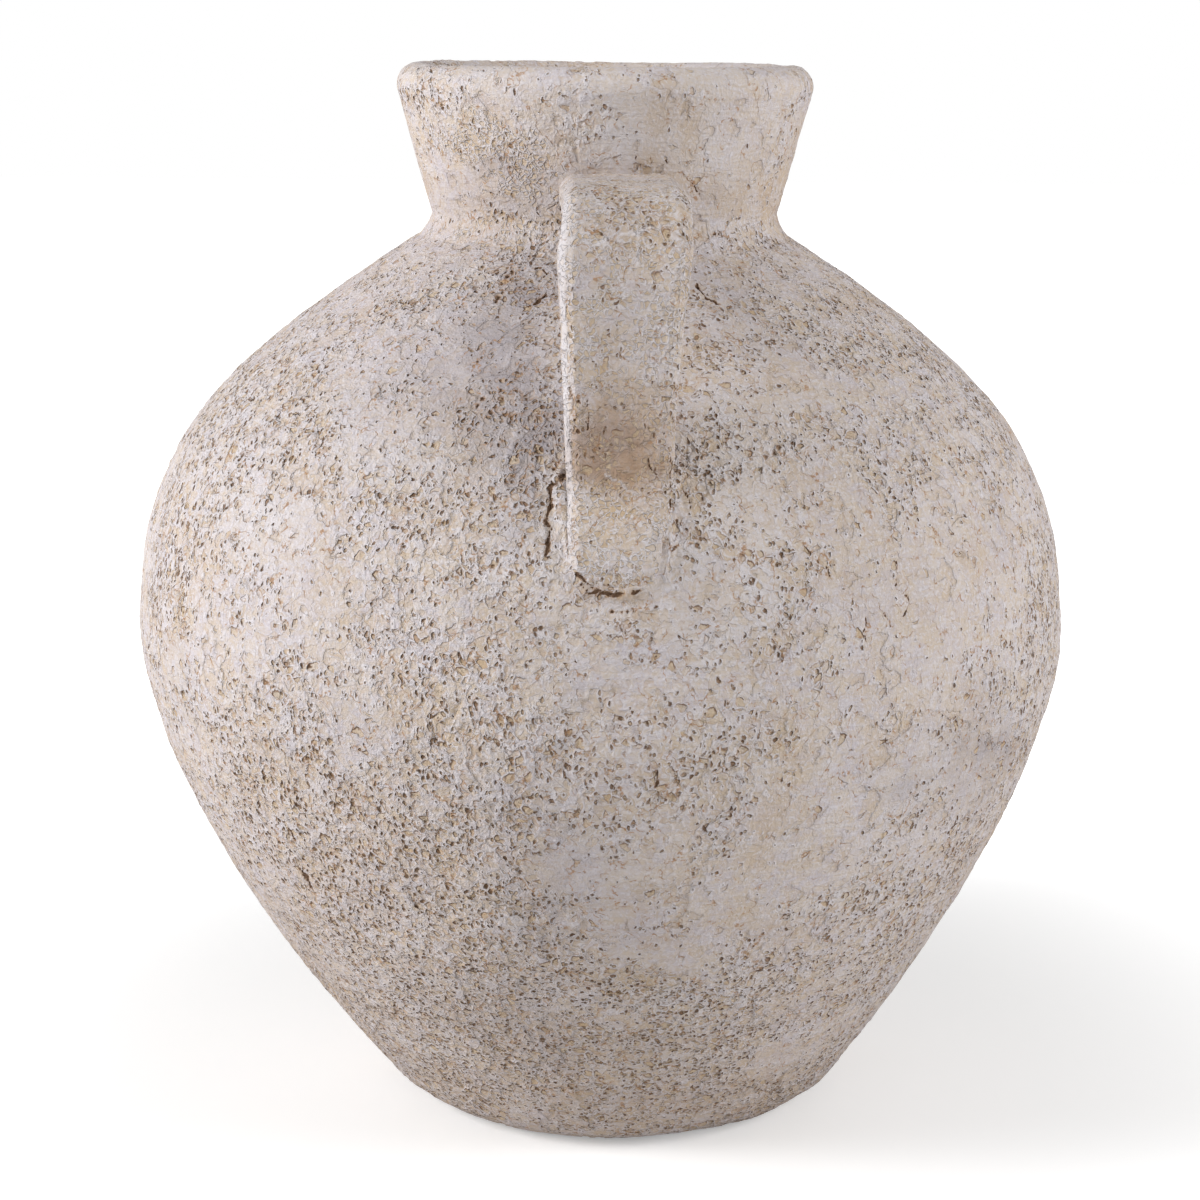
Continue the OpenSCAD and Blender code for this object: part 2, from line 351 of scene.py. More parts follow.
HANDLE_MARKS = {
    "crest": (
        (2.4, (605, 474), (619, 482), (628, 491), (634, 495)),
        (3.4, (589, 250), (602, 243), (616, 235), (639, 233), (646, 229), (670, 225)),
        (3.0, (639, 235), (639, 265)),
    ),
    "crack": (
        (2.4, (648, 459), (652, 469), (659, 477)),
        (2.0, (586, 400), (588, 415), (588, 430)),
        (4.0, (576, 573), (583, 578), (592, 586), (604, 589), (616, 588)),
        (2.4, (604, 585), (611, 585)),
        (2.6, (609, 595), (619, 592)),
        (2.2, (671, 458), (671, 463)),
        (2.2, (672, 468), (671, 474)),
        (2.2, (671, 482), (671, 492)),
        (2.2, (671, 500), (672, 507)),
        (1.8, (562, 486), (562, 492)),
        (1.8, (562, 505), (563, 514)),
        (1.8, (563, 524), (564, 532)),
    ),
    "dot": (
        (7.0, (577, 456)),
        (4.0, (563, 460), (571, 395), (574, 420), (577, 432), (579, 402)),
    ),
}
MARK_FIELD = {"crack": "crack", "dot": "crack", "crest": "crest", "groove": "tan"}
DENT = {"crack": 0.6, "dot": 0.7, "edge": 0.6, "groove": 0.6, "crest": -0.35, "fillet": -1.5}


def line_distance(seen, line):
    """Distance of image points from a line through pixels."""
    best = np.full(len(seen), np.inf)
    for a, b in zip(line[:-1], line[1:]):
        a, along = np.array(a, float), np.array(b, float) - a
        t = np.clip((seen - a) @ along / (along @ along), 0.0, 1.0)
        best = np.minimum(best, np.linalg.norm(seen - a - t[:, None] * along, axis=1))
    return best


def mark_field(kind, width, line, seen):
    """1 on a mark's line, 0 at its edge and less than 0 outside it."""
    if kind == "dot":
        away = np.min([np.linalg.norm(seen - np.array(p), axis=1) for p in line], axis=0)
    else:
        away = line_distance(seen, line)
    return np.maximum(1 - away / (width / 2), -1.0)


# Relief of the lime coat

WARP_SIZE, WARP = 5.0, 1.2
FLAKE_SIZE = 13.0
BODY_ROUGH, NECK_ROUGH, HANDLE_ROUGH = 0.63, 0.34, 0.50
NECK_CHANGE_Z = (330.0, 344.0)
PIXEL_WARP_SIZE, PIXEL_WARP = 18.0, 9.0
LEVEL_STRETCH = np.array([0.15, 0.15, 1.0])
# How much browner and darker the coat gets towards the bottom, and between which heights
EARTH_LOW, EARTH_Z = 0.14, (200.0, 20.0)
FIELDS = ("flake", "rough", "tan", "grey", "pale", "dark", "earth", "cool", "lace", "crack",
          "crest", "inside")
NO_CRACK = -1.0
MARK_MARGIN = 8.0
MARK_EDGE = (-0.2, 0.6)

# Stains that come and go over the jug: amount, the noise at which they start and are full, size and seed
STAINS = {
    "tan": (0.45, 0.3, 1.6, 34.0, 28),
    "grey": (0.30, 0.4, 1.8, 75.0, 31),
    "pale": (0.35, 0.5, 1.9, 55.0, 34),
}

# Heights and sizes of the relief, in millimetres
LUMP_H, LUMP_SIZE = 0.32, 58.0
DIP_H, DIP_SIZE = 0.20, 23.0
BRUSH_H, BRUSH_SIZE, BRUSH_STRETCH = 0.07, 6.0, np.array([0.12, 0.12, 1.0])
GRIT_H, GRIT_ROUGH_H, GRIT_SIZE = 0.05, 0.10, 3.6
PEEL_T, PEEL_EDGE = 0.28, (-0.15, 0.25)
LIP_H, LIP_AT, LIP_HALF = 0.10, -0.25, 0.15


def blank_fields(count):
    """The fields of the coat before anything is added to them."""
    f = {name: np.zeros(count) for name in FIELDS}
    f["crack"] += NO_CRACK
    return f


def coat_relief(points, outward, base_rough, patches, marks):
    """Height in millimetres and the fields of the coat, for rest points on the outside."""
    f = blank_fields(len(points))
    warp = noises(points, WARP_SIZE, 10, 11, 12)
    bent = points + WARP * warp
    level = points * LEVEL_STRETCH

    f["rough"] = base_rough + 0.20 * layered(points, 60.0, 20) + 0.13 * layered(points, 16.0, 24, 2)
    f["rough"] += 0.09 * layered(level, 9.0, 26, 2)
    for name, (amount, start, full, size, seed) in STAINS.items():
        f[name] = amount * smoothstep(start, full, layered(points, size, seed, 2))
    # Browner and darker towards the bottom
    f["earth"] = EARTH_LOW * smoothstep(*EARTH_Z, points[:, 2]) * (1 + 0.5 * layered(level, 12.0, 40, 2))
    seen = seen_at(points)
    front = facing(points, outward)
    wander = PIXEL_WARP * noises(points, PIXEL_WARP_SIZE, 37, 38)
    for middle, reach, adds in patches:
        away = (seen + wander - middle) / reach
        weight = front * np.exp(-np.einsum("ij,ij->i", away, away))
        for name, amount in adds.items():
            f[name] += amount * weight
    for name in ("rough", "tan", "grey", "pale", "dark", "earth", "cool", "lace"):
        f[name] = np.clip(f[name], 0.0, 1.0)
    rough = f["rough"]

    flake = noise(points + 2.0 * warp, FLAKE_SIZE, 44) + 0.6 * noise(bent, 0.42 * FLAKE_SIZE, 45)
    f["flake"] = np.clip(flake - (1.35 - 0.9 * rough), -3.0, 3.0)

    height = LUMP_H * noise(points, LUMP_SIZE, 50) + DIP_H * noise(points, DIP_SIZE, 51)
    height += BRUSH_H * noise(points * BRUSH_STRETCH, BRUSH_SIZE, 52)
    height += (GRIT_H + GRIT_ROUGH_H * rough) * noise(bent, GRIT_SIZE, 53)
    height -= PEEL_T * smoothstep(*PEEL_EDGE, f["flake"])
    height += LIP_H * np.exp(-((f["flake"] - LIP_AT) / LIP_HALF) ** 2)
    jag = seen + warp[:, :2] + 0.8 * noises(points, 1.7, 54, 55)
    swell = 1 + 0.35 * noise(points, 4.0, 56)
    for kind, width, line in [(kind, width, line) for kind in marks for width, *line in marks[kind]]:
        reach = np.ptp(line, 0) / 2 + 2 * width + MARK_MARGIN
        near = (np.abs(jag - np.mean(line, 0)) < reach).all(1) & (front > 0.5)
        if not near.any():
            continue
        value = mark_field(kind, width * swell[near], line, jag[near])
        height[near] -= DENT[kind] * smoothstep(0.0, 1.0, value) * front[near]
        if kind in MARK_FIELD:
            added = value if MARK_FIELD[kind] == "crack" else smoothstep(*MARK_EDGE, value)
            f[MARK_FIELD[kind]][near] = np.maximum(f[MARK_FIELD[kind]][near], added)
    return height, f


RING_H, RING_TURN = 0.5, 0.62


def inside_relief(points):
    """Height and fields for the plain inside, with the rings that the potter's fingers left."""
    f = blank_fields(len(points))
    f["inside"] += 1.0
    f["rough"] += 0.3
    f["flake"] -= 2.0
    rings = RING_H * np.sin(points[:, 2] * RING_TURN + 0.6 * noise(points, 90.0, 60))
    return rings + 0.25 * noise(points, 30.0, 61), f


# Outline of the jug, as lines of [radius, height]

def curve_line(c, count):
    t = np.linspace(0, 1, count)[:, None]
    return (1 - t) ** 3 * c[0] + 3 * t * (1 - t) ** 2 * c[1] + 3 * t * t * (1 - t) * c[2] + t ** 3 * c[3]


def sag_line(a, corner, b, count):
    t = np.linspace(0, 1, count)[:, None]
    return (1 - t) ** 2 * np.array(a) + 2 * t * (1 - t) * np.array(corner) + t * t * np.array(b)


def arc_line(centre, r, start, end, count):
    a = np.linspace(start, end, count)
    return np.array(centre) + r * np.stack([np.cos(a), np.sin(a)], 1)


def lengths_along(line):
    return np.concatenate([[0], np.cumsum(np.linalg.norm(np.diff(line, axis=0), axis=1))])


def respaced(line, step):
    """The same line with points a step apart."""
    lengths = lengths_along(line)
    at = np.linspace(0, lengths[-1], max(2, int(round(lengths[-1] / step)) + 1))
    return np.stack([np.interp(at, lengths, line[:, 0]), np.interp(at, lengths, line[:, 1])], 1)


def inward(line, depth):
    along = np.gradient(line, axis=0)
    along /= np.linalg.norm(along, axis=1)[:, None]
    return line + depth * np.stack([-along[:, 1], along[:, 0]], 1)


def polar(angle):
    return np.array([math.cos(angle), math.sin(angle)])


foot_edge_r = FLOOR_T / (1 - math.cos(FOOT_RISE))
wall_foot = np.array([FOOT_R + foot_edge_r * math.sin(FOOT_RISE), FLOOR_T])
belly = np.array([BELLY_R, BELLY_Z])
neck_foot = np.array([NECK_FOOT_R, SHOULDER_Z])
neck_bore = np.array([NECK_FOOT_R - NECK_T, SHOULDER_Z])
lip_centre = np.array([RIM_R - LIP_R, HEIGHT - LIP_R])
lap_top = np.array([BELLY_R - WALL_T, LAP_Z])

lower_outside = curve_line([wall_foot, wall_foot + FOOT_REACH * polar(FOOT_RISE),
                            belly - [0, FULLNESS_LOW], belly], DENSE)
upper_outside = curve_line([belly, belly + [0, FULLNESS_UP],
                            neck_foot + SHOULDER_REACH * polar(-SHOULDER_SLOPE), neck_foot], DENSE)


def shoulder_r(z):
    return np.interp(z, upper_outside[:, 1], upper_outside[:, 0])


def shoulder_z(r):
    return np.interp(r, upper_outside[::-1, 0], upper_outside[::-1, 1])


def tangent(point, side):
    """Direction of the line from point that touches the rim's round on its outside (-1) or inside (1)."""
    to = lip_centre - point
    return math.atan2(to[1], to[0]) + side * math.asin(LIP_R / np.linalg.norm(to))


outside_dir = tangent(neck_foot, -1)
inside_dir = tangent(neck_bore, 1)


def neck_outside(z):
    return np.array([neck_foot[0] + (z - SHOULDER_Z) / math.tan(outside_dir), z])


def neck_inside(z):
    return np.array([neck_bore[0] + (z - SHOULDER_Z) / math.tan(inside_dir), z])


lower_inside = inward(lower_outside, WALL_T)
lower_inside = np.vstack([[wall_foot[0] - WALL_T / math.sin(FOOT_RISE), FLOOR_T],
                          lower_inside[lower_inside[:, 1] > FLOOR_T]])
upper_inside = inward(upper_outside, WALL_T)
bore_foot_z = upper_inside[-1, 1] + (upper_inside[-1, 0] - neck_bore[0]) * math.tan(SHOULDER_SLOPE)
upper_inside = np.vstack([upper_inside[(upper_inside[:, 1] > LAP_Z) & (upper_inside[:, 0] > neck_bore[0])],
                          [neck_bore[0], bore_foot_z]])

# Sideways drift of the hand-made outline, as seen in the photograph
CENTRE_HEIGHTS = (0.0, 45.0, 110.0, 185.0, 270.0, 335.0, 400.0)
CENTRE_SHIFTS = (4.8, 2.0, -1.0, -2.2, -2.2, -1.6, -2.2)
DRIFT_Z = np.linspace(0, 400, 81)
SMOOTHED = 6
sharp_drift = np.pad(np.interp(DRIFT_Z, CENTRE_HEIGHTS, CENTRE_SHIFTS), SMOOTHED, "edge")
DRIFT = np.convolve(sharp_drift, np.full(2 * SMOOTHED + 1, 1 / (2 * SMOOTHED + 1)), "valid")
HANDLE_HEIGHTS = (236.0, 259.0, 286.0, 302.0, 318.0, 335.0, 345.0)
HANDLE_SHIFTS = (-1.9, -1.3, -1.6, -1.3, -1.0, 0.0, 0.9)
HANDLE_WIDTHS = (34.2, 34.6, 36.7, 38.6, 40.4, 42.6, 41.5)


def shifted(points, heights, shifts):
    moved = points.copy()
    moved[:, 0] += np.interp(points[:, 2], heights, shifts)
    return moved


def body_drift(points):
    return shifted(points, DRIFT_Z, DRIFT)


def handle_drift(points):
    return shifted(points, HANDLE_HEIGHTS, HANDLE_SHIFTS)


# Meshes

UV_GAP = 0.004
CAP_BAND = 0.02
MOST_STRIPS = 4
UNDER_BARE = 0.6
UV_WEIGHT = {"coat": 1.0, "inside": 0.35, "under": 0.6, "joint": 0.06}


def strip_uv(rows, columns, step_heights, strips):
    """Corners of every quad on the map: the grid cut into strips of columns, laid above each other."""
    across = columns // strips
    v = np.concatenate([[0], np.cumsum(step_heights)])
    v /= v[-1]
    i, j = np.meshgrid(np.arange(rows), np.arange(columns), indexing="ij")
    strip, place = j // across, j % across
    room = (1 - CAP_BAND) / strips
    u = [UV_GAP + (1 - 2 * UV_GAP) * (place + d) / across for d in (0, 1)]
    low, high = [(strip + UV_GAP + (1 - 2 * UV_GAP) * v[i + d]) * room for d in (0, 1)]
    corners = [(u[0], low), (u[1], low), (u[1], high), (u[0], high)]
    return np.stack([np.stack(c, 2) for c in corners], 2).reshape(-1, 4, 2)


def cap_uv(columns, end):
    middle = np.array([0.2 + 0.4 * end, 1 - CAP_BAND / 2])
    a = np.arange(columns + 1) / columns * 2 * math.pi
    ring = middle + 0.4 * CAP_BAND * np.stack([np.cos(a), np.sin(a)], 1)
    return np.stack([np.repeat(middle[None], columns, 0), ring[:-1], ring[1:]], 1)


def grid_piece(node, points, fields, rows, closed, sharp_rows, uv, slot_name):
    """A closed mesh from a grid of rows, each a closed ring. Open rows are capped at both ends."""
    name = node + "_clay"
    columns = len(points) // rows
    i, j = np.meshgrid(np.arange(rows if closed else rows - 1), np.arange(columns), indexing="ij")
    i2, j2 = (i + 1) % rows, (j + 1) % columns
    quads = np.stack([i * columns + j, i * columns + j2, i2 * columns + j2, i2 * columns + j], 2)
    quads = quads.reshape(-1, 4)
    tris = np.empty((0, 3), int)
    uvs = [uv.reshape(-1, 2)]
    if not closed:
        last = (rows - 1) * columns
        centre = len(points)
        j = np.arange(columns)
        j2 = (j + 1) % columns
        tris = np.vstack([np.stack([np.full(columns, centre), j2, j], 1),
                          np.stack([np.full(columns, centre + 1), last + j, last + j2], 1)])
        points = np.vstack([points, points[:columns].mean(0), points[last:].mean(0)])
        fields = {k: np.concatenate([v, v[:1], v[-1:]]) for k, v in fields.items()}
        uvs += [cap_uv(columns, end).reshape(-1, 2) for end in (0, 1)]
    mesh = bpy.data.meshes.new(name)
    corners = np.concatenate([quads.ravel(), tris.ravel()]).astype(np.int32)
    starts = np.concatenate([np.arange(len(quads)) * 4, quads.size + np.arange(len(tris)) * 3])
    mesh.vertices.add(len(points))
    mesh.vertices.foreach_set("co", (points * MM).astype(np.float32).ravel())
    mesh.loops.add(len(corners))
    mesh.loops.foreach_set("vertex_index", corners)
    mesh.polygons.add(len(starts))
    mesh.polygons.foreach_set("loop_start", starts.astype(np.int32))
    mesh.update(calc_edges=True)
    mesh.polygons.foreach_set("use_smooth", np.ones(len(starts), bool))
    for key, values in fields.items():
        mesh.attributes.new(key, "FLOAT", "POINT").data.foreach_set("value", values.astype(np.float32))
    row_of = np.repeat(np.where(sharp_rows, np.arange(rows), -1), columns)
    row_of = np.concatenate([row_of, np.full(len(points) - len(row_of), -1)])
    ends = np.empty(len(mesh.edges) * 2, np.int32)
    mesh.edges.foreach_get("vertices", ends)
    ends = row_of[ends.reshape(-1, 2)]
    flags = (ends[:, 0] >= 0) & (ends[:, 0] == ends[:, 1])
    mesh.attributes.new("sharp_edge", "BOOLEAN", "EDGE").data.foreach_set("value", flags)
    layer = mesh.uv_layers.new(name="OFBake")
    layer.data.foreach_set("uv", np.vstack(uvs).astype(np.float32).ravel())
    mesh.validate()
    mesh.materials.append(MATERIALS[slot_name])
    piece = bpy.data.objects.new(name, mesh)
    scene.collection.objects.link(piece)
    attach(piece, "root")
    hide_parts(node)


def turned_piece(node, columns, *stretches, slot_name="lime_coat", closed=True):
    """A piece turned from stretches of outline. Each is (line, kind), in order round the section with the
    clay on the left. The kind is coat, inside, under or joint."""
    outline = np.vstack([line[:-1] for line, kind in stretches])
    kinds = [kind for line, kind in stretches for _ in line[:-1]]
    sharp = [k == 0 for line, kind in stretches for k in range(len(line) - 1)]
    if not closed:
        outline = np.vstack([outline, stretches[-1][0][-1:]])
        kinds.append(kinds[-1])
        sharp.append(False)
    rows = len(outline)
    ahead = np.roll(outline, -1, 0) - outline
    behind = outline - np.roll(outline, 1, 0)
    if not closed:
        ahead[-1], behind[0] = behind[-1], ahead[0]
    step_lengths = np.linalg.norm(ahead, axis=1)
    ahead /= step_lengths[:, None]
    behind /= np.linalg.norm(behind, axis=1)[:, None]
    normal = np.empty_like(outline)
    for i in range(rows):
        before, after = kinds[i - 1], kinds[i]
        along = ahead[i] + behind[i] if before == after else (ahead[i] if before == "joint" else behind[i])
        normal[i] = np.array([along[1], -along[0]]) / np.linalg.norm(along)
    turn = np.arange(columns) / columns * 2 * math.pi
    turn = turn - FRONT_BIAS * np.sin(turn) - math.pi / 2

    def spun(line):
        return np.stack([np.outer(line[:, 0], np.cos(turn)), np.outer(line[:, 0], np.sin(turn)),
                         np.repeat(line[:, 1:], columns, 1)], 2).reshape(-1, 3)

    rest, outward = spun(outline), spun(normal)
    kind_of = np.repeat([kinds[i - 1] if kinds[i] == "joint" else kinds[i] for i in range(rows)], columns)
    height = np.zeros(len(rest))
    fields = blank_fields(len(rest))
    fields["inside"] += 1.0
    for kind in ("coat", "inside", "under"):
        chosen = kind_of == kind
        if not chosen.any():
            continue
        if kind == "inside":
            height[chosen], found = inside_relief(rest[chosen])
        else:
            on_neck = smoothstep(*NECK_CHANGE_Z, rest[chosen, 2])
            height[chosen], found = coat_relief(body_drift(rest[chosen]), outward[chosen],
                                                BODY_ROUGH + (NECK_ROUGH - BODY_ROUGH) * on_neck,
                                                BODY_PATCHES, BODY_MARKS)
        if kind == "under":
            found["inside"] += UNDER_BARE
        for key, values in found.items():
            fields[key][chosen] = values
    points = body_drift(rest + height[:, None] * outward)
    points[:, 2] = np.maximum(points[:, 2], 0.0)
    steps = rows if closed else rows - 1
    weighted = [step_lengths[i] * UV_WEIGHT[kinds[i]] for i in range(steps)]
    around = 2 * math.pi * outline[:, 0].max()
    strips = max(1, min(MOST_STRIPS, round(math.sqrt(around / sum(weighted)))))
    uv = strip_uv(steps, columns, weighted, strips)
    grid_piece(node, points, fields, rows, closed, sharp, uv, slot_name)


def straight(a, b, count=3):
    return np.linspace(a, b, count)


def stretch(*parts, step=COAT_STEP, kind="coat"):
    """A stretch of outline through points and lines, with rows a step apart."""
    return respaced(np.vstack(parts), step), kind


def joint(a, b, count=3):
    return straight(a, b, count), "joint"


# Rings of the handle

FACE_POINTS = int(64 / FINE)
SIDE_POINTS = 6
CORNER_POINTS = 12
HANDLE_STEP = 0.62 * FINE
BEVEL = 0.7
HANDLE_RELIEF = 0.65
HANDLE_LACE = 0.40
# Painted highlight on the strap's left side
EDGE_PALE = 0.9


def oblong(w, t, r):
    """Points and outward normals of a rounded oblong, as [across, through]."""
    r = min(r, 0.499 * w, 0.499 * t)
    points, normals = [], []
    for q, (sx, sy) in enumerate(((1, 1), (-1, 1), (-1, -1), (1, -1))):
        a = math.pi / 2 * (q + np.linspace(0, 1, CORNER_POINTS))
        n = np.stack([np.cos(a), np.sin(a)], 1)
        share = np.linspace(0, 1, CORNER_POINTS)[:, None]
        bevel = (1 - share) * n[0] + share * n[-1]
        arc = np.array([sx * (w / 2 - r), sy * (t / 2 - r)]) + r * (BEVEL * bevel + (1 - BEVEL) * n)
        if q % 2 == 0:
            count, run = FACE_POINTS, np.array([-2 * sx * (w / 2 - r), 0.0])
        else:
            count, run = SIDE_POINTS, np.array([0.0, -2 * sy * (t / 2 - r)])
        share = (np.arange(1, count + 1) / (count + 1))[:, None]
        points += [arc, arc[-1] + share * run]
        normals += [n, np.repeat(n[-1:], count, 0)]
    return np.vstack(points), np.vstack(normals)


def ring_at(middle, angle, w, t, r):
    """An oblong ring set at [radius, height], its thickness along the angle in the handle's plane."""
    p, n = oblong(w, t, r)
    c, s = math.cos(angle), math.sin(angle)
    place = np.stack([p[:, 0], -(middle[0] + p[:, 1] * c), middle[1] + p[:, 1] * s], 1)
    return place, np.stack([n[:, 0], -n[:, 1] * c, n[:, 1] * s], 1)


def swept_piece(node, rings, shape):
    """A piece of the handle through rings of (points, outward normals)."""
    rest = np.vstack([p for p, n in rings])
    outward = np.vstack([n for p, n in rings])
    height, fields = coat_relief(handle_drift(rest), outward, HANDLE_ROUGH, HANDLE_PATCHES, HANDLE_MARKS)
    height = height * HANDLE_RELIEF + shape(rest, outward)
    fields["lace"] += HANDLE_LACE
    # Painted highlight on the strap's left side, which faces the key lamp, put into the crest field
    left_edge = smoothstep(0.55, 0.85, -outward[:, 0]) * facing(rest, outward)
    fields["crest"] = np.maximum(fields["crest"], EDGE_PALE * left_edge)
    points = handle_drift(rest + height[:, None] * outward)
    rows, columns = len(rings), len(rings[0][0])
    middles = np.array([p.mean(0) for p, n in rings])
    uv = strip_uv(rows - 1, columns, np.linalg.norm(np.diff(middles, axis=0), axis=1) + 0.05, 1)
    sharp = [i in (0, rows - 1) for i in range(rows)]
    grid_piece(node, points, fields, rows, False, sharp, uv, "lime_coat")


# Materials

class Graph:
    """Short calls that add linked nodes to a material or the world."""

    def __init__(self, owner):
        self.owner = owner
        owner.use_nodes = True
        self.nodes, self.links = owner.node_tree.nodes, owner.node_tree.links

    def feed(self, socket, value):
        if isinstance(value, bpy.types.NodeSocket):
            self.links.new(value, socket)
        elif value is not None:
            socket.default_value = value

    def node(self, kind, *inputs, **settings):
        made = self.nodes.new(kind)
        for key, value in settings.items():
            setattr(made, key, value)
        for socket, value in zip(made.inputs, inputs):
            self.feed(socket, value)
        return made

    def math(self, operation, a, b=None, c=None):
        return self.node("ShaderNodeMath", a, b, c, operation=operation).outputs[0]

    def times(self, a, b):
        return self.math("MULTIPLY", a, b)

    def plus(self, a, b):
        return self.math("ADD", a, b)

    def field(self, name):
        return self.node("ShaderNodeAttribute", attribute_name=name).outputs["Fac"]

    def step(self, value, low, high, out_low=0.0, out_high=1.0):
        """A smooth step from out_low at low to out_high at high."""
        made = self.node("ShaderNodeMapRange", interpolation_type="SMOOTHSTEP")
        flipped = low > high
        ends = (high, low, out_high, out_low) if flipped else (low, high, out_low, out_high)
        for socket, number in zip(("From Min", "From Max", "To Min", "To Max"), ends):
            made.inputs[socket].default_value = number
        self.feed(made.inputs["Value"], value)
        return made.outputs[0]

    def mix(self, share, a, b):
        made = self.node("ShaderNodeMix", data_type="RGBA")
        self.feed(made.inputs["Factor"], share)
        self.feed(made.inputs["A"], a)
        self.feed(made.inputs["B"], b)
        return made.outputs["Result"]

    def layered(self, colour, *layers):
        """A colour with others laid over it in turn, each given as (share, colour)."""
        for share, over in layers:
            colour = self.mix(share, colour, over)
        return colour

    def vector(self, operation, a, b=None, output="Vector"):
        return self.node("ShaderNodeVectorMath", a, b, operation=operation).outputs[output]

    def stretched(self, place, scale):
        return self.vector("MULTIPLY", place, scale)

    def place(self):
        """Place on the jug in millimetres."""
        return self.stretched(self.node("ShaderNodeTexCoord").outputs["Object"], (1 / MM,) * 3)

    def squeezed(self, place):
        """The place with its height drawn together on the upright wall, where pits are long."""
        x, y, z = self.node("ShaderNodeSeparateXYZ", place).outputs
        low = self.times(self.math("MINIMUM", z, LONG_PITS_Z), LOW_PITS - LONG_PITS)
        return self.node("ShaderNodeCombineXYZ", x, y, self.plus(self.times(z, LONG_PITS), low)).outputs[0]

    def texture(self, kind, place, size, **settings):
        made = self.node("ShaderNodeTex" + kind, place, **settings)
        made.inputs["Scale"].default_value = 1 / size
        return made

    def noise(self, place, size, detail=1.0, output="Fac"):
        made = self.texture("Noise", place, size)
        made.inputs["Detail"].default_value = detail
        return made.outputs[output]

    def cells(self, place, size):
        """Scattered points: the way from the nearest in millimetres, and its three random values."""
        made = self.texture("Voronoi", place, size)
        values = self.node("ShaderNodeSeparateColor", made.outputs["Color"]).outputs
        return self.vector("SUBTRACT", place, made.outputs["Position"]), *values[:3]

    def sheltered(self, way, shelter):
        """1 on the side of a pit that gets painted shade."""
        along = self.vector("NORMALIZE", way)
        return self.step(self.vector("DOT_PRODUCT", along, shelter, "Value"), 0.05, 0.65)

    def pits(self, place, size, radii, share, swell, jag, shelter):
        """Scattered pits: a place's shares in one, on its rim, in its core, which gets painted shade, and
        in the painted shade on one side, and the pit's tint.
        """
        way, pick, large, tint = self.cells(place, size)
        radius = self.times(self.math("MULTIPLY_ADD", large, radii[1] - radii[0], radii[0]), swell)
        away = self.math("SUBTRACT", self.plus(self.vector("LENGTH", way, output="Value"), jag), radius)
        is_open = self.math("LESS_THAN", pick, share)
        inside = self.step(away, 0.18, -0.38)
        rim = self.times(self.step(away, -0.1, 0.25), self.step(away, 0.9, 0.3))
        core = self.step(away, -0.02, -0.38)
        dirt = self.times(self.between(inside), self.sheltered(way, shelter))
        return [self.times(x, is_open) for x in (inside, rim, core, dirt)] + [tint]

    def net(self, place, size, share, jag, shelter):
        """A net of cells: a place's shares in a sunken one, on its ridge and in the painted shade on one
        side, and its tint.
        """
        edge = self.texture("Voronoi", place, size, feature="DISTANCE_TO_EDGE")
        from_edge = self.plus(self.times(edge.outputs["Distance"], size), jag)
        way, pick, _, tint = self.cells(place, size)
        is_sunk = self.math("LESS_THAN", pick, share)
        inside = self.step(from_edge, 0.03 * size, 0.27 * size)
        ridge = self.step(from_edge, 0.15 * size, 0.05 * size)
        dirt = self.times(self.between(inside), self.sheltered(way, shelter))
        return [self.times(x, is_sunk) for x in (inside, ridge, dirt)] + [tint]

    def shelter(self):
        """The side of a pit that gets painted shade: upward, and away from the middle of the jug."""
        x = self.node("ShaderNodeSeparateXYZ", self.place()).outputs["X"]
        aside = self.node("ShaderNodeClamp", self.times(x, 0.01), -0.8, 0.8).outputs[0]
        return self.node("ShaderNodeCombineXYZ", aside, 0.0, 0.6).outputs[0]

    def between(self, share):
        """1 where a share is one half, and 0 where it is none or all."""
        return self.times(self.times(share, self.math("SUBTRACT", 1.0, share)), 4.0)

    def folds(self, place, size):
        """Crests that loop about, the low ground beside them, and the wash that has run along it."""
        value = self.noise(place, size, 1.0)
        from_line = self.math("ABSOLUTE", self.math("SUBTRACT", value, 0.5))
        wash = self.times(self.step(value, 0.480, 0.455), self.step(value, 0.38, 0.44))
        return self.step(from_line, 0.065, 0.010), self.step(value, 0.50, 0.43), wash

    def plates(self, place, size):
        """Thin plates of coat that overlap: the upper ones, and the foot of their edges."""
        value = self.noise(place, size, 3.0)
        foot = self.times(self.step(value, 0.470, 0.488), self.step(value, 0.512, 0.494))
        return self.step(value, 0.488, 0.512), foot

    def wobble(self, place, size, amount):
        """The place moved about by noise."""
        around = self.vector("SUBTRACT", self.noise(place, size, 1.0, "Color"), (0.5,) * 3)
        return self.vector("ADD", place, self.stretched(around, (amount,) * 3))

    def surface(self, colour, roughness, height):
        """Colour, roughness and a bump whose height is in millimetres."""
        bump = self.node("ShaderNodeBump")
        bump.inputs["Strength"].default_value = 1.0
        bump.inputs["Distance"].default_value = MM
        self.feed(bump.inputs["Height"], height)
        inputs = self.nodes["Principled BSDF"].inputs
        self.feed(inputs["Base Color"], colour)
        self.feed(inputs["Roughness"], roughness)
        self.feed(inputs["Normal"], bump.outputs["Normal"])
        self.feed(inputs["Specular IOR Level"], SHINE)
        return self.owner


SHINE = 0.2

# How much pits are drawn together in height above and below a level
LONG_PITS, LOW_PITS, LONG_PITS_Z = 0.68, 1.25, 90.0

LILAC = (0.530, 0.484, 0.515, 1)
SAND = (0.574, 0.500, 0.448, 1)
COAT_PALE = (0.630, 0.590, 0.594, 1)
# Grey of the stains, also used for painted shadow
COAT_GREY = (0.325, 0.292, 0.306, 1)
CREST = (0.655, 0.622, 0.645, 1)
# Brown of the lower part, also used for painted shade
EARTH = (0.352, 0.237, 0.162, 1)
TAN = (0.505, 0.368, 0.225, 1)
TAN_PALE = (0.555, 0.444, 0.322, 1)
WASH = (0.370, 0.210, 0.110, 1)
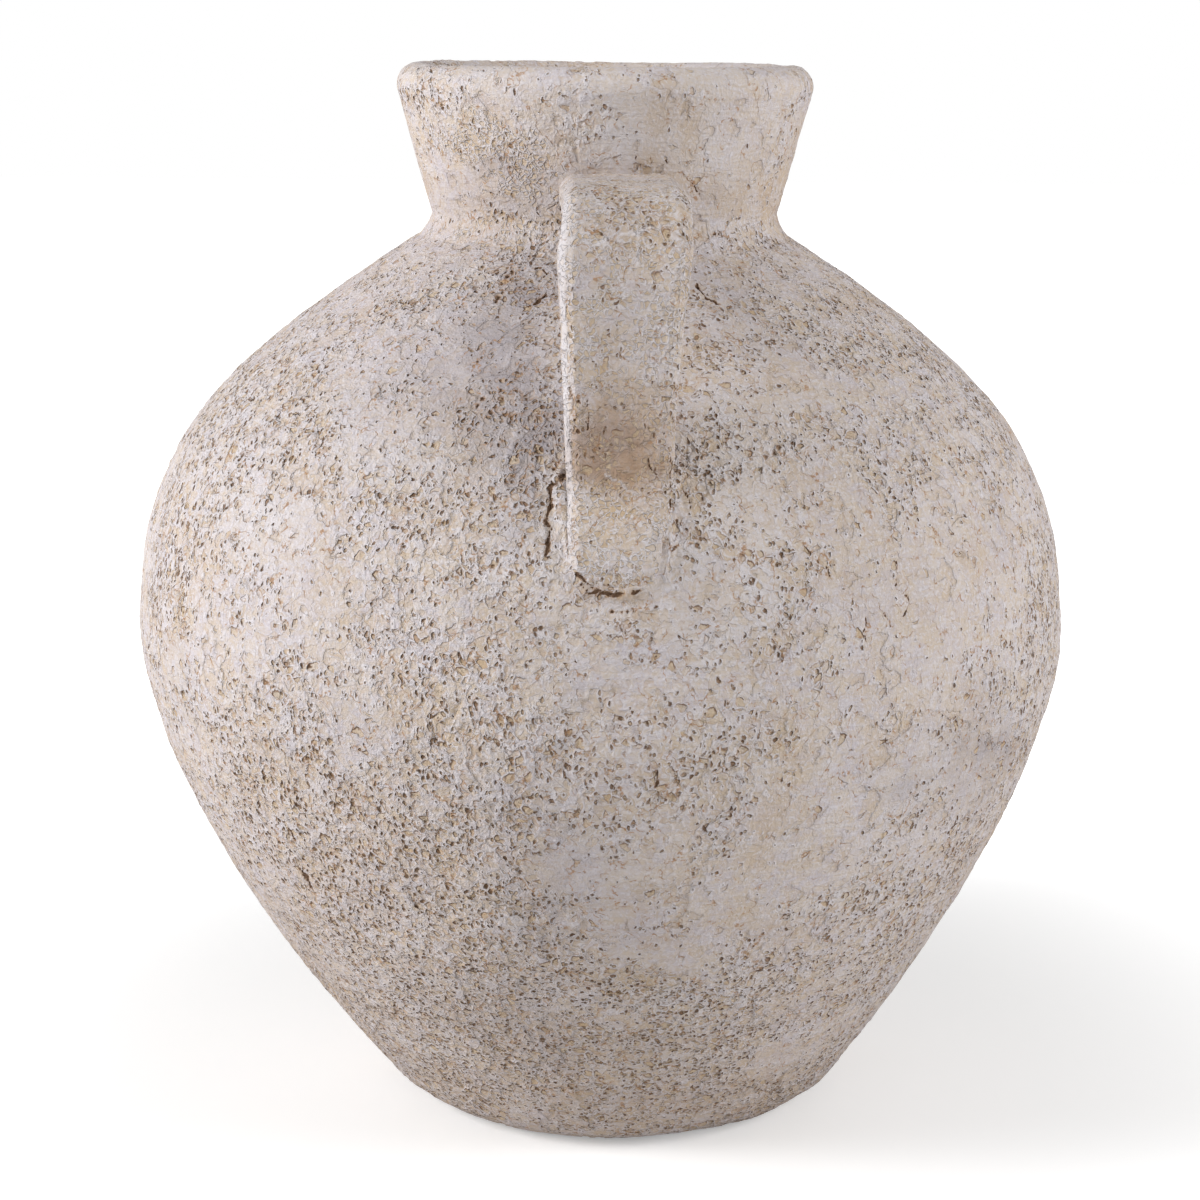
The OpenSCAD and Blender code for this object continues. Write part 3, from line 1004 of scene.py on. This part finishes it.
# Painted shade: dark brown on the side of pits that faces up and away from the middle of the jug
DIRT = (0.160, 0.085, 0.045, 1)
# Dark of cracks and of the bare clay's grain, also used for painted shade in the cores of pits
DARK = (0.095, 0.050, 0.026, 1)
CLAY = (0.375, 0.255, 0.175, 1)
CLAY_PALE = (0.476, 0.374, 0.290, 1)

PIT_SIZE, PIT_RADII = 1.6, (0.20, 0.66)
NET_SIZE, LACE_SIZE = 3.1, 1.9
PLATE_SIZE, FOLD_SIZE = 9.0, 4.4


def coat_forms(g):
    """Shares of a place in the pits, nets, plates, folds and cracks of the coat."""
    s = SimpleNamespace(place=g.place(), rough=g.field("rough"))
    s.bent = g.wobble(g.wobble(s.place, 5.0, 3.0), 1.8, 1.1)
    s.grain = g.math("SUBTRACT", g.noise(s.place, 0.7, 2.0), 0.5)
    jag, shelter = g.times(s.grain, 0.6), g.shelter()
    clusters = g.plus(g.times(g.noise(s.place, 8.0, 2.0), 1.1), -0.55)
    rows = g.plus(g.times(g.noise(g.stretched(s.place, (0.12, 0.12, 1.0)), 4.5), 0.7), -0.35)
    crowd = g.plus(s.rough, g.plus(clusters, rows))
    s.pit, s.pit_rim, s.pit_core, s.pit_dirt, s.pit_tint = g.pits(
        g.squeezed(s.bent), PIT_SIZE, PIT_RADII, g.step(crowd, 0.15, 1.0, 0.03, 0.60),
        g.step(crowd, 0.3, 1.1, 0.85, 1.25), jag, shelter)
    s.net, s.net_rim, s.net_dirt, s.net_tint = g.net(
        s.bent, NET_SIZE, g.step(crowd, 0.3, 1.1, 0.02, 0.46), jag, shelter)
    lacy = g.plus(g.field("lace"), g.times(g.noise(s.place, 9.0, 2.0), 0.8))
    s.lace, s.lace_rim, _, s.lace_tint = g.net(
        s.bent, LACE_SIZE, g.step(lacy, 0.45, 1.05, 0.0, 0.9), jag, shelter)
    s.peeled = g.step(g.plus(g.field("flake"), g.times(s.grain, 0.8)), -0.08, 0.10)
    s.split = g.plus(g.field("crack"), g.plus(g.times(s.grain, 0.8), g.times(g.noise(s.place, 3.0), 1.2)))
    s.crack = g.step(s.split, 0.80, 1.20)
    s.plate, s.plate_foot = g.plates(g.wobble(s.place, 3.0, 2.0), PLATE_SIZE)
    s.broken = g.step(g.noise(s.place, 5.0), 0.42, 0.60, 0.05, 1.0)
    s.torn = g.step(g.noise(s.place, 1.5, 2.0), 0.42, 0.56)
    lines, low, wash = g.folds(s.bent, FOLD_SIZE)
    s.low = g.times(low, s.rough)
    s.wash = g.times(wash, g.times(s.broken, s.rough))
    s.crest = g.times(lines, g.times(s.broken, g.step(s.rough, 0.0, 0.8, 0.1, 0.6)))
    for rim in (s.pit_rim, s.net_rim, s.lace_rim):
        s.crest = g.math("MAXIMUM", s.crest, rim)
    s.combed = g.noise(g.stretched(g.wobble(s.place, 9.0, 3.0), (0.09, 0.09, 1.0)), 1.3, 2.0)
    s.fleck = g.noise(s.bent, 1.1, 2.0)
    return s


def coat_colour(g, s):
    """Lime in two tones, streaked and stained, with clay in what is sunk, and with painted light and shade:
    shade in the pits' cores and on one side of them, and cool light, highlights and shade where the fields
    hold them.
    """
    tone = g.step(g.noise(s.place, 48.0, 3.0), 0.36, 0.64)
    streak = g.step(g.noise(g.stretched(s.place, (0.10, 0.10, 1.0)), 5.5, 2.0), 0.50, 0.72)
    cloud = g.step(g.noise(s.bent, 9.0, 2.0), 0.42, 0.66)
    hue = g.plus(g.times(g.noise(s.bent, 3.4, 2.0), 0.5), g.times(g.noise(s.place, 12.0, 3.0), 0.5))
    floor = g.mix(g.step(g.noise(s.bent, 4.0, 2.0), 0.35, 0.65), TAN, TAN_PALE)
    walls = g.times(g.math("MAXIMUM", g.between(s.pit), g.between(s.net)), s.torn)
    # Painted shade on one side of the pits, and of the sunken cells with a high tint
    dirt = g.math("MAXIMUM", s.pit_dirt, g.times(s.net_dirt, g.step(s.net_tint, 0.2, 0.7, 0.3, 1.0)))
    # How dark the painted shade in the pits' cores is, higher where the dark field is high
    deep = g.plus(g.times(s.pit_tint, 0.75), g.times(g.field("dark"), 0.8))
    raw = g.mix(g.step(g.noise(s.bent, 12.0, 4.0), 0.35, 0.65), CLAY, CLAY_PALE)
    return g.layered(
        LILAC,
        (g.step(hue, 0.42, 0.58), SAND),
        (g.times(tone, 0.22), SAND),
        (g.times(cloud, 0.25), COAT_PALE),
        (g.times(streak, 0.25), COAT_PALE),
        (g.step(s.combed, 0.52, 0.66, 0.0, 0.35), CREST),
        (g.step(s.combed, 0.46, 0.34, 0.0, 0.30), TAN_PALE),
        # Painted light: a cool tint on the left side, where the key lamp falls
        (g.times(g.field("cool"), 0.8), LILAC),
        # Paler stains, and painted light where patches lift shade or light up the strap's edges
        (g.field("pale"), COAT_PALE),
        (g.times(s.low, 0.60), TAN_PALE),
        (g.times(g.field("tan"), g.plus(g.times(cloud, -0.4), 0.8)), TAN),
        (g.times(s.peeled, 0.25), TAN),
        (g.step(s.fleck, 0.54, 0.64, 0.0, 0.32), TAN_PALE),
        (g.step(s.fleck, 0.46, 0.36, 0.0, 0.55), CREST),
        (g.times(s.crest, 0.75), CREST),
        # Browner towards the bottom, and painted shade where patches put it
        (g.times(g.field("earth"), g.step(hue, 0.40, 0.60, 0.70, 1.0)), EARTH),
        # Grey stains, and painted shadow where patches put it
        (g.times(g.field("grey"), g.plus(g.times(cloud, -0.35), 0.85)), COAT_GREY),
        (g.times(s.lace, g.step(s.lace_tint, 0.0, 0.9, 0.25, 0.72)), floor),
        (g.times(s.net, g.step(s.net_tint, 0.2, 0.9, 0.1, 0.8)), floor),
        (g.times(s.pit, 0.8), g.mix(g.step(s.pit_tint, 0.1, 0.7), floor, WASH)),
        (g.times(walls, 0.45), WASH),
        # Painted shade on one side of the pits and sunken cells
        (g.times(dirt, 0.85), DIRT),
        # Painted shade in the cores of pits
        (g.times(s.pit_core, g.step(deep, 0.22, 0.88, 0.12, 0.92)), DARK),
        (g.times(s.wash, 0.40), WASH),
        (g.times(s.plate_foot, g.times(g.times(s.torn, s.broken), 0.85)), WASH),
        # Pale crest marks, and the painted highlight on the strap's left side
        (g.times(g.field("crest"), 0.70), CREST),
        (g.step(s.split, 0.45, 0.95, 0.0, 0.65), WASH),
        (g.times(s.crack, 0.92), DARK),
        (g.field("inside"), raw))


def coat_height(g, s):
    """Height in millimetres of the relief that is finer than the mesh."""
    parts = (
        (s.pit, g.step(s.pit_tint, 0.0, 1.0, -0.8, -1.5)),
        (s.net, -0.34),
        (s.lace, -0.30),
        (s.peeled, -0.35),
        (s.plate, 0.16),
        (s.crack, -0.50),
        (s.low, -0.22),
        (s.crest, 0.22),
        (g.noise(s.bent, 1.5), g.step(s.rough, 0.0, 0.8, 0.2, 0.55)),
        (s.fleck, -0.25),
        (s.combed, 0.45),
        (s.grain, 0.25))
    return reduce(g.plus, [g.times(share, height) for share, height in parts])


def make_lime_coat():
    """Brushed, pitted lime over clay, from the fields of the mesh and detail finer than the mesh."""
    g = Graph(bpy.data.materials.new("lime_coat"))
    s = coat_forms(g)
    return g.surface(coat_colour(g, s), g.step(s.crest, 0.0, 1.0, 0.95, 0.85), coat_height(g, s))


def make_bare_clay():
    """Fired clay on the inside, pressed and smoothed by hand."""
    g = Graph(bpy.data.materials.new("bare_clay"))
    place = g.place()
    grain = g.noise(place, 1.2, 3.0)
    colour = g.mix(g.step(g.noise(place, 14.0, 4.0), 0.35, 0.65), CLAY, CLAY_PALE)
    colour = g.mix(g.step(grain, 0.40, 0.25, 0.0, 0.5), colour, DARK)
    ridges = g.noise(g.stretched(place, (0.08, 0.08, 1.0)), 2.5, 2.0)
    height = g.plus(g.times(ridges, 0.35), g.times(grain, 0.15))
    return g.surface(colour, g.step(grain, 0.3, 0.7, 0.95, 0.85), height)


MATERIALS = {"lime_coat": make_lime_coat(), "bare_clay": make_bare_clay()}


# Turned pieces

CENTRE_R = 2.0
COIL_STEP = 1.0
foot_arc = arc_line([FOOT_R, foot_edge_r], foot_edge_r, -math.pi / 2, FOOT_RISE - math.pi / 2, 40)
turned_piece(
    "base_disc", NECK_COLUMNS,
    stretch([CENTRE_R, 0.0], foot_arc[0], step=2.0 * COAT_STEP, kind="under"),
    stretch(foot_arc),
    joint(wall_foot, [CENTRE_R, FLOOR_T], 12), closed=False)

lap_r = BELLY_R - WALL_T / 2
lap_line = np.array([belly, [lap_r, BELLY_Z], [lap_r, LAP_Z], lap_top])
turned_piece(
    "lower_body", BODY_COLUMNS,
    stretch(lower_outside),
    (lap_line, "joint"),
    stretch(lap_top, lower_inside[::-1], step=INSIDE_STEP, kind="inside"),
    joint(lower_inside[0], wall_foot))
turned_piece(
    "upper_body", BODY_COLUMNS,
    stretch(upper_outside),
    joint(neck_foot, neck_bore),
    stretch(neck_bore, upper_inside[::-1], lap_top, step=INSIDE_STEP, kind="inside"),
    (lap_line[::-1], "joint"))

rim_foot, rim_bore = neck_outside(RIM_JOINT_Z), neck_inside(RIM_JOINT_Z)
turned_piece(
    "neck_collar", NECK_COLUMNS,
    stretch(neck_foot, rim_foot),
    joint(rim_foot, rim_bore),
    stretch(rim_bore, neck_bore, step=2.0 * COAT_STEP),
    joint(neck_bore, neck_foot))
lip_arc = arc_line(lip_centre, LIP_R, outside_dir - math.pi / 2, inside_dir + math.pi / 2, 80)
turned_piece("rim_roll", NECK_COLUMNS, stretch(rim_foot, lip_arc, rim_bore), joint(rim_bore, rim_foot))

# The coil's toes run on a little under the coat, so that its edges don't show
TOE_RUN, TOE_SINK = 1.6, 0.5
COIL_FILL = 0.25
toe_r = NECK_FOOT_R + NECK_COIL_LEG + TOE_RUN
shoulder_toe = np.array([toe_r, shoulder_z(toe_r) - TOE_SINK])
neck_toe = neck_outside(SHOULDER_Z + NECK_COIL_LEG + TOE_RUN) - [TOE_SINK, 0]
coil_heart = neck_foot - [2 * TOE_SINK, 2 * TOE_SINK]
coil_line = sag_line(shoulder_toe, neck_foot + COIL_FILL * NECK_COIL_LEG, neck_toe, 30)
turned_piece("neck_seam_coil", NECK_COLUMNS, stretch(coil_line), joint(neck_toe, coil_heart),
             joint(coil_heart, shoulder_toe))

base_corner = lower_inside[0]
floor_toe = base_corner - [BASE_COIL_LEG, 0]
wall_toe_z = FLOOR_T + BASE_COIL_LEG
wall_toe = np.array([np.interp(wall_toe_z, lower_inside[:, 1], lower_inside[:, 0]), wall_toe_z])
base_heart = base_corner + [-BASE_COIL_LEG * COIL_FILL, BASE_COIL_LEG * COIL_FILL]
turned_piece(
    "base_seam_coil", INNER_COLUMNS,
    stretch(sag_line(wall_toe, base_heart, floor_toe, 30), step=COIL_STEP, kind="inside"),
    joint(floor_toe, base_corner),
    joint(base_corner, wall_toe), slot_name="bare_clay")

coil_z = np.array([BELLY_Z - BELLY_COIL_H / 2, BELLY_Z + BELLY_COIL_H / 2])
inner_wall = np.vstack([lower_inside, lap_top, upper_inside])
coil_low, coil_high = [np.array([np.interp(z, inner_wall[:, 1], inner_wall[:, 0]), z]) for z in coil_z]
belly_heart = lap_top - [2 * BELLY_COIL_T, 0]
turned_piece(
    "belly_seam_coil", INNER_COLUMNS,
    stretch(sag_line(coil_high, belly_heart, coil_low, 30), step=COIL_STEP, kind="inside"),
    joint(coil_low, lap_top),
    joint(lap_top, coil_high), slot_name="bare_clay")


# Handle

strap_z = STRAP_TOP_Z - STRAP_T / 2
strap_r = STRAP_OUT_R - STRAP_T / 2
bend_centre = np.array([strap_r - STRAP_BEND_R, strap_z - STRAP_BEND_R])
strap_line = np.vstack([straight([STRAP_START_R, strap_z], bend_centre + [0, STRAP_BEND_R], 30)[:-1],
                        arc_line(bend_centre, STRAP_BEND_R, math.pi / 2, 0, 40),
                        straight(bend_centre + [STRAP_BEND_R, 0], [strap_r, STRAP_END_Z], 30)[1:]])


def strap_w(z):
    return np.interp(z, HANDLE_HEIGHTS, HANDLE_WIDTHS)


def strap_rings():
    line = respaced(strap_line, HANDLE_STEP)
    along = np.gradient(line, axis=0)
    return [ring_at(p, math.atan2(d[0], -d[1]), strap_w(p[1]), STRAP_T, STRAP_EDGE_R)
            for p, d in zip(line, along)]


HOLLOW_T, HOLLOW_X, HOLLOW_HALF = 0.9, 2.0, 11.0
HOLLOW_Z = (330.0, 300.0)
WAVE_H, WAVE_SIZE = 0.15, 17.0


def strap_shape(rest, outward):
    """Hand-pressed hollow down the front of the strap, and uneven edges."""
    face = smoothstep(0.8, 1.0, -outward[:, 1]) * smoothstep(*HOLLOW_Z, rest[:, 2])
    hollow = np.exp(-((rest[:, 0] - HOLLOW_X) / HOLLOW_HALF) ** 2)
    return -HOLLOW_T * face * hollow + WAVE_H * noise(rest, WAVE_SIZE, 70)


PAD_SPREAD = 0.3
PAD_SINK = 2.0
PAD_ROWS = int(24 / FINE)


def upper_pad_rings():
    """From inside the neck out to the strap, flaring where it meets the neck."""
    rings = []
    for t in np.linspace(1, 0, PAD_ROWS):
        flare = 2 * PAD_SPREAD * t ** 3
        p, n = ring_at([STRAP_START_R, strap_z], math.pi / 2, strap_w(strap_z) + flare, STRAP_T + flare,
                       STRAP_EDGE_R + flare)
        neck_r = neck_foot[0] + (p[:, 2] - SHOULDER_Z) / math.tan(outside_dir)
        neck_y = -np.sqrt(neck_r ** 2 - p[:, 0] ** 2) + PAD_SINK
        p[:, 1] = (1 - t) * p[:, 1] + t * neck_y
        rings.append((p, n))
    return rings


CREASE_Z = 262.5
BEND_START, CREASE_BULGE = np.array([[0.0, -0.1], [0.6, -3.0]])
TAIL_START_Z = CREASE_Z - 12.0
TAIL_END_Z = TAIL_Z + 1.5
TAIL_FALL = 2.2
TAIL_LEAST = 0.3
PAD_RISE = 4.4
TAIL_EMBED, ROOT_EMBED = 4.0, STRAP_T / 2
TIP_L, TIP_LEAST = 8.0, 0.02
SINK_Z = CREASE_Z - 4.0
EDGE_SINK = PAD_RISE + 0.8
LEFT_SINK = 0.35
RIGHT_FROM, LEFT_FROM = 0.50, 0.75


def lower_pad_rings():
    """From the strap's end down to a crease, then along the shoulder to a round tip."""
    face_r = STRAP_OUT_R
    tail = np.linspace(TAIL_START_Z, TAIL_END_Z, 30)
    u = (tail[0] - tail) / (tail[0] - tail[-1])
    tail_line = np.stack([shoulder_r(tail) + PAD_RISE * (1 - u ** TAIL_FALL) + TAIL_LEAST, tail], 1)
    crease = np.array([face_r, CREASE_Z])
    bend = sag_line(crease + BEND_START, crease + CREASE_BULGE, tail_line[0], 14)
    line = np.vstack([straight([face_r, STRAP_END_Z], crease, 12), bend[1:-1], tail_line])
    line = respaced(line, HANDLE_STEP)
    along = np.gradient(line, axis=0)
    lengths = lengths_along(line)
    proud = line[:, 0] - shoulder_r(line[:, 1])
    rings = []
    for p, d, s, rise in zip(line, along, lengths, proud):
        angle = math.atan2(d[0], -d[1])
        embed = TAIL_EMBED + (ROOT_EMBED - TAIL_EMBED) * smoothstep(CREASE_Z, STRAP_END_Z, p[1])
        t = min(STRAP_T, max(rise, 0.0) * math.cos(angle) + embed)
        left = (lengths[-1] - s) / TIP_L
        w = strap_w(p[1]) * (1.0 if left >= 1 else math.sqrt(max(1 - (1 - left) ** 2, TIP_LEAST)))
        if s == 0:
            t = STRAP_T
        middle = p - t / 2 * np.array([math.cos(angle), math.sin(angle)])
        rings.append(ring_at(middle, angle, w, t, STRAP_EDGE_R))
    return rings


def tail_shape(rest, outward):
    """The tail's edges run out into the shoulder, the right one sooner."""
    side = rest[:, 0] / strap_w(rest[:, 2]) * 2
    down = np.clip((SINK_Z - rest[:, 2]) / (SINK_Z - TAIL_Z), 0.0, 1.0)
    right = smoothstep(RIGHT_FROM, 1.0, side) * smoothstep(0.0, 1.0, down)
    left = LEFT_SINK * smoothstep(LEFT_FROM, 1.0, -side) * smoothstep(0.5, 1.0, down)
    sunk = -EDGE_SINK * (right + left) * smoothstep(0.0, 0.6, -outward[:, 1])
    return sunk + strap_shape(rest, outward) * smoothstep(CREASE_Z, STRAP_END_Z, rest[:, 2])


swept_piece("handle_strap", strap_rings(), strap_shape)
swept_piece("upper_handle_pad", upper_pad_rings(), strap_shape)
swept_piece("lower_handle_pad", lower_pad_rings(), tail_shape)


# Studio

def soft_lamp(name, place, aim, size, watts):
    data = bpy.data.lights.new(name, "AREA")
    data.shape = "RECTANGLE"
    data.size, data.size_y = size
    data.energy = watts
    lamp = bpy.data.objects.new(name, data)
    lamp.location = place
    lamp.rotation_mode = "QUATERNION"
    lamp.rotation_quaternion = (Vector(aim) - Vector(place)).to_track_quat("-Z", "Y")
    scene.collection.objects.link(lamp)


LAMP_SIZE = (0.6, 1.0)
LAMP_AIM = (0, 0, 0.22)
KEY_PLACE, KEY_WATTS = (-1.65, -0.55, 0.95), 33.0
FILL_PLACE, FILL_WATTS = (1.60, -0.64, 0.95), 20.5
soft_lamp("key_left", KEY_PLACE, LAMP_AIM, LAMP_SIZE, KEY_WATTS)
soft_lamp("fill_right", FILL_PLACE, LAMP_AIM, LAMP_SIZE, FILL_WATTS)

AMBIENT = 0.34
BACKDROP_RAYS = ("Is Camera Ray", "Is Glossy Ray", "Is Transmission Ray")


def seen_share(g):
    """1 for rays that show the background, and 0 for those that only carry its light."""
    rays = g.node("ShaderNodeLightPath").outputs
    return reduce(lambda a, b: g.math("MAXIMUM", a, b), [rays[name] for name in BACKDROP_RAYS])


def make_world():
    """White for what sees it, and a dimmer even light for the jug."""
    scene.world = bpy.data.worlds.new("studio")
    g = Graph(scene.world)
    strength = g.node("ShaderNodeMapRange", seen_share(g))
    strength.inputs["To Min"].default_value = AMBIENT
    light = g.nodes["Background"]
    light.inputs["Color"].default_value = (1, 1, 1, 1)
    g.feed(light.inputs["Strength"], strength.outputs[0])


FLOOR_HALF = 6.0
FLOOR_DROP = 0.0001
FLOOR_SHADE = (0.80, 0.80, 0.80, 1)
GLOW_NEAR, GLOW_FAR = 0.32, 1.0
GLOW_START, GLOW_END = 0.16, 0.60


def make_floor():
    """A pale floor that keeps the jug's shadow and fades into the white background."""
    mesh = bpy.data.meshes.new("floor")
    ends = ((-1, -1), (1, -1), (1, 1), (-1, 1))
    corners = [(FLOOR_HALF * x, FLOOR_HALF * y, -FLOOR_DROP) for x, y in ends]
    mesh.from_pydata(corners, [], [(0, 1, 2, 3)])
    floor = bpy.data.objects.new("floor", mesh)
    scene.collection.objects.link(floor)
    g = Graph(bpy.data.materials.new("pale_floor"))
    g.nodes.remove(g.nodes["Principled BSDF"])
    away = g.vector("LENGTH", g.node("ShaderNodeTexCoord").outputs["Object"], output="Value")
    glow = g.times(g.step(away, GLOW_START, GLOW_END, GLOW_NEAR, GLOW_FAR), seen_share(g))
    shade = g.node("ShaderNodeBsdfDiffuse", FLOOR_SHADE)
    light = g.node("ShaderNodeEmission", (1, 1, 1, 1), glow)
    both = g.node("ShaderNodeAddShader", shade.outputs[0], light.outputs[0])
    g.feed(g.nodes["Material Output"].inputs["Surface"], both.outputs[0])
    mesh.materials.append(g.owner)


make_world()
make_floor()
scene.view_settings.view_transform = "Standard"
